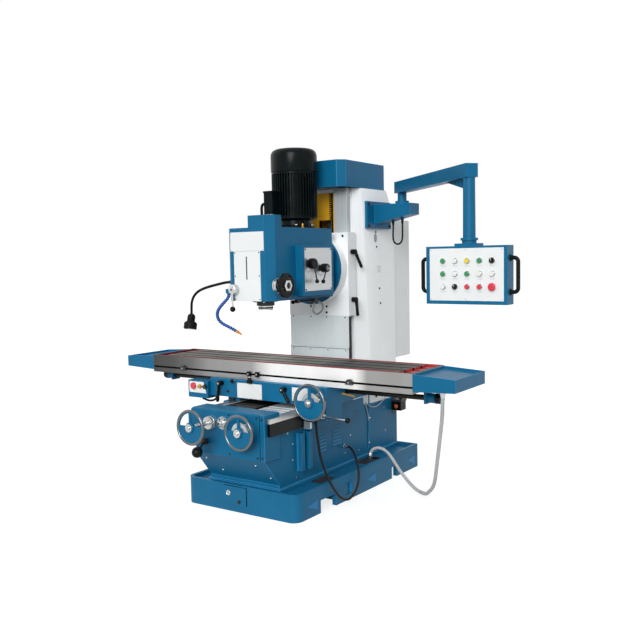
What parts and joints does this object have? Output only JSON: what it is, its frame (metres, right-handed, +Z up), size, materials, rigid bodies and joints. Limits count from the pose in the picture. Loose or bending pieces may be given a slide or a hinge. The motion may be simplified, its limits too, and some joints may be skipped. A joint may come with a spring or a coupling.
{
  "type": "bed type milling machine",
  "caption": "Vertical bed type milling machine: long slotted table on a cross saddle, swivelling motor head on a column, swing-arm control pendant.",
  "frame": {"origin": "on the floor, below the middle of the table, on the machine's centre plane", "axes": "+X along the table to the operator's right, +Y from the operator towards the column, +Z up"},
  "size_m": [2.776, 2.0303, 2.19],
  "materials": {
    "blue_paint": "glossy blue machine enamel on cast iron",
    "blue_sheet": "glossy blue enamel on sheet steel",
    "white_casting": "smooth white machine enamel on cast iron",
    "white_sheet": "smooth white enamel on sheet steel",
    "ground_steel": "ground and scraped iron and steel",
    "grey_sheet": "matte grey way panel",
    "bright_sheet": "bright plated sheet",
    "wheel": "bright rim and hub with a painted web",
    "black_lever": "black clamp lever",
    "black_motor": "glossy black enamel, finned",
    "lamp": "matt black lamp and flexible neck",
    "blue_hose": "blue segmented hose with an orange nozzle",
    "black_conduit": "black flexible conduit",
    "grey_hose": "grey corrugated hose",
    "red_button": "red button",
    "green_button": "green button",
    "white_button": "white button",
    "yellow_button": "yellow button",
    "black_button": "black button"
  },
  "bodies": {
    "frame": {"base": "blue_paint", "bed": "blue_paint", "bed_ways": "ground_steel", "bed_way_covers": "bright_sheet", "feed_gearbox": "blue_paint", "gearbox_cover": "blue_paint", "column": "white_casting", "column_ways": "ground_steel", "lift_screw": "ground_steel", "column_cap": "blue_sheet", "electrical_cabinet": "white_sheet", "lower_way_panel": "grey_sheet", "pendant_bracket": "blue_paint", "pendant_conduit": "black_conduit", "saddle_conduit": "black_conduit", "drain_hose_lower": "grey_hose"},
    "saddle": {"saddle": "blue_paint", "control_box": "blue_sheet", "drain_hose_upper": "grey_hose"},
    "table": {"table": "ground_steel", "end_trays": "blue_sheet", "screw_brackets": "blue_paint", "table_screw": "ground_steel"},
    "slide": {"head_slide": "white_casting", "upper_way_panel": "grey_sheet"},
    "head": {"head_body": "blue_paint", "head_front_cover": "white_sheet", "swivel_disc": "blue_paint", "main_motor": "black_motor", "work_lamp": "lamp", "coolant_hose": "blue_hose"},
    "pendant_arm": {"pendant_arm": "blue_sheet"},
    "pendant_box": {"pendant_box": "blue_sheet", "pendant_handles": "black_lever"},
    "quill": {"quill": "ground_steel"},
    "spindle": {"spindle": "ground_steel"},
    "fine_feed_wheel": {"fine_feed_wheel": "black_lever"},
    "quill_lever": {"quill_lever": "black_lever"},
    "speed_selector_front": {"speed_selector_front": "black_lever"},
    "speed_selector_rear": {"speed_selector_rear": "black_lever"},
    "slide_clamp_upper": {"slide_clamp_upper": "black_lever"},
    "slide_clamp_lower": {"slide_clamp_lower": "black_lever"},
    "cabinet_door": {"cabinet_door": "white_sheet"},
    "vertical_handwheel": {"vertical_handwheel": "wheel"},
    "cross_handwheel": {"cross_handwheel": "wheel"},
    "feed_engage_lever": {"feed_engage_lever": "black_lever"},
    "table_handwheel": {"table_handwheel": "wheel"},
    "table_feed_lever": {"table_feed_lever": "black_lever"},
    "table_clamp_left": {"table_clamp_left": "black_lever"},
    "table_clamp_right": {"table_clamp_right": "black_lever"},
    "box_estop": {"box_estop": "red_button"},
    "box_start_button": {"box_start_button": "yellow_button"},
    "box_stop_button": {"box_stop_button": "black_button"},
    "pendant_green_buttons": {"pendant_green_buttons": "green_button"},
    "pendant_white_buttons": {"pendant_white_buttons": "white_button"},
    "pendant_yellow_button": {"pendant_yellow_button": "yellow_button"},
    "pendant_red_buttons": {"pendant_red_buttons": "red_button"},
    "pendant_estop": {"pendant_estop": "red_button"},
    "pendant_switch_upper": {"pendant_switch_upper": "black_button"},
    "pendant_switch_lower": {"pendant_switch_lower": "black_button"}
  },
  "joints": [
    {"name": "saddle_travel", "type": "slide", "parent": "frame", "child": "saddle", "axis": [0, 1, 0], "range_m": [-0.27, 0.12], "deforming": ["saddle_conduit", "drain_hose_lower"]},
    {"name": "table_travel", "type": "slide", "parent": "saddle", "child": "table", "axis": [1, 0, 0], "range_m": [-0.48, 0.48], "deforming": ["drain_hose_upper"]},
    {"name": "head_lift", "type": "slide", "parent": "frame", "child": "slide", "axis": [0, 0, 1], "range_m": [-0.27, 0.28]},
    {"name": "head_swivel", "type": "hinge", "parent": "slide", "child": "head", "pos_m": [0, 0.32, 1.428], "axis": [0, -1, 0], "range_deg": [-45, 45]},
    {"name": "quill_feed", "type": "slide", "parent": "head", "child": "quill", "axis": [0, 0, -1], "range_m": [0, 0.105]},
    {"name": "spindle_turn", "type": "hinge", "parent": "quill", "child": "spindle", "pos_m": [0, -0.21, 1.215], "axis": [0, 0, 1], "continuous": true},
    {"name": "fine_feed_turn", "type": "hinge", "parent": "head", "child": "fine_feed_wheel", "pos_m": [0.244, -0.322, 1.342], "axis": [1, 0, 0], "continuous": true},
    {"name": "quill_lever_turn", "type": "hinge", "parent": "head", "child": "quill_lever", "pos_m": [-0.095, -0.395, 1.32], "axis": [0, 1, 0], "range_deg": [-90, 15]},
    {"name": "speed_front_turn", "type": "hinge", "parent": "head", "child": "speed_selector_front", "pos_m": [0.26, -0.077, 1.466], "axis": [1, 0, 0], "range_deg": [-30, 30]},
    {"name": "speed_rear_turn", "type": "hinge", "parent": "head", "child": "speed_selector_rear", "pos_m": [0.26, 0.053, 1.437], "axis": [1, 0, 0], "range_deg": [-30, 30]},
    {"name": "slide_clamp_upper_turn", "type": "hinge", "parent": "slide", "child": "slide_clamp_upper", "pos_m": [0.25, 0.406, 1.535], "axis": [1, 0, 0], "range_deg": [-30, 30]},
    {"name": "slide_clamp_lower_turn", "type": "hinge", "parent": "slide", "child": "slide_clamp_lower", "pos_m": [0.25, 0.409, 1.221], "axis": [1, 0, 0], "range_deg": [-30, 30]},
    {"name": "cabinet_door_swing", "type": "hinge", "parent": "frame", "child": "cabinet_door", "pos_m": [-0.246, 1.1873, 1.266], "axis": [0, 0, 1], "range_deg": [0, 110]},
    {"name": "vertical_wheel_turn", "type": "hinge", "parent": "frame", "child": "vertical_handwheel", "pos_m": [-0.108, -0.79, 0.553], "axis": [0, 1, 0], "continuous": true},
    {"name": "cross_wheel_turn", "type": "hinge", "parent": "frame", "child": "cross_handwheel", "pos_m": [0.163, -0.69, 0.531], "axis": [0, 1, 0], "continuous": true},
    {"name": "engage_lever_turn", "type": "hinge", "parent": "frame", "child": "feed_engage_lever", "pos_m": [-0.16, -0.62, 0.432], "axis": [0, 1, 0], "range_deg": [-25, 25]},
    {"name": "table_wheel_turn", "type": "hinge", "parent": "saddle", "child": "table_handwheel", "pos_m": [0.408, -0.345, 0.667], "axis": [0, 1, 0], "continuous": true},
    {"name": "table_feed_turn", "type": "hinge", "parent": "saddle", "child": "table_feed_lever", "pos_m": [0.425, -0.25, 0.578], "axis": [0, 1, 0], "range_deg": [-25, 25]},
    {"name": "left_clamp_turn", "type": "hinge", "parent": "saddle", "child": "table_clamp_left", "pos_m": [-0.35, -0.25, 0.715], "axis": [0, 1, 0], "range_deg": [-60, 30]},
    {"name": "right_clamp_turn", "type": "hinge", "parent": "saddle", "child": "table_clamp_right", "pos_m": [0.152, -0.25, 0.711], "axis": [0, 1, 0], "range_deg": [-60, 30]},
    {"name": "pendant_swing", "type": "hinge", "parent": "frame", "child": "pendant_arm", "pos_m": [0.458, 0.708, 1.88], "axis": [0, 0, 1], "range_deg": [-40, 60]},
    {"name": "pendant_turn", "type": "hinge", "parent": "pendant_arm", "child": "pendant_box", "pos_m": [1.228, 0.052, 1.58], "axis": [0, 0, 1], "range_deg": [-90, 90]},
    {"name": "box_estop_press", "type": "slide", "parent": "saddle", "child": "box_estop", "axis": [0, 1, 0], "range_m": [0, 0.004], "stiffness_N_per_m": 600},
    {"name": "box_start_button_press", "type": "slide", "parent": "saddle", "child": "box_start_button", "axis": [0, 1, 0], "range_m": [0, 0.004], "stiffness_N_per_m": 600},
    {"name": "box_stop_button_press", "type": "slide", "parent": "saddle", "child": "box_stop_button", "axis": [0, 1, 0], "range_m": [0, 0.004], "stiffness_N_per_m": 600},
    {"name": "pendant_green_buttons_press", "type": "slide", "parent": "pendant_box", "child": "pendant_green_buttons", "axis": [0, 1, 0], "range_m": [0, 0.004], "stiffness_N_per_m": 600},
    {"name": "pendant_white_buttons_press", "type": "slide", "parent": "pendant_box", "child": "pendant_white_buttons", "axis": [0, 1, 0], "range_m": [0, 0.004], "stiffness_N_per_m": 600},
    {"name": "pendant_yellow_button_press", "type": "slide", "parent": "pendant_box", "child": "pendant_yellow_button", "axis": [0, 1, 0], "range_m": [0, 0.004], "stiffness_N_per_m": 600},
    {"name": "pendant_red_buttons_press", "type": "slide", "parent": "pendant_box", "child": "pendant_red_buttons", "axis": [0, 1, 0], "range_m": [0, 0.004], "stiffness_N_per_m": 600},
    {"name": "pendant_estop_press", "type": "slide", "parent": "pendant_box", "child": "pendant_estop", "axis": [0, 1, 0], "range_m": [0, 0.004], "stiffness_N_per_m": 600},
    {"name": "switch_upper_turn", "type": "hinge", "parent": "pendant_box", "child": "pendant_switch_upper", "pos_m": [1.382, -0.01, 1.469], "axis": [0, 1, 0], "range_deg": [-45, 45]},
    {"name": "switch_lower_turn", "type": "hinge", "parent": "pendant_box", "child": "pendant_switch_lower", "pos_m": [1.166, -0.01, 1.327], "axis": [0, 1, 0], "range_deg": [-45, 45]}
  ]
}
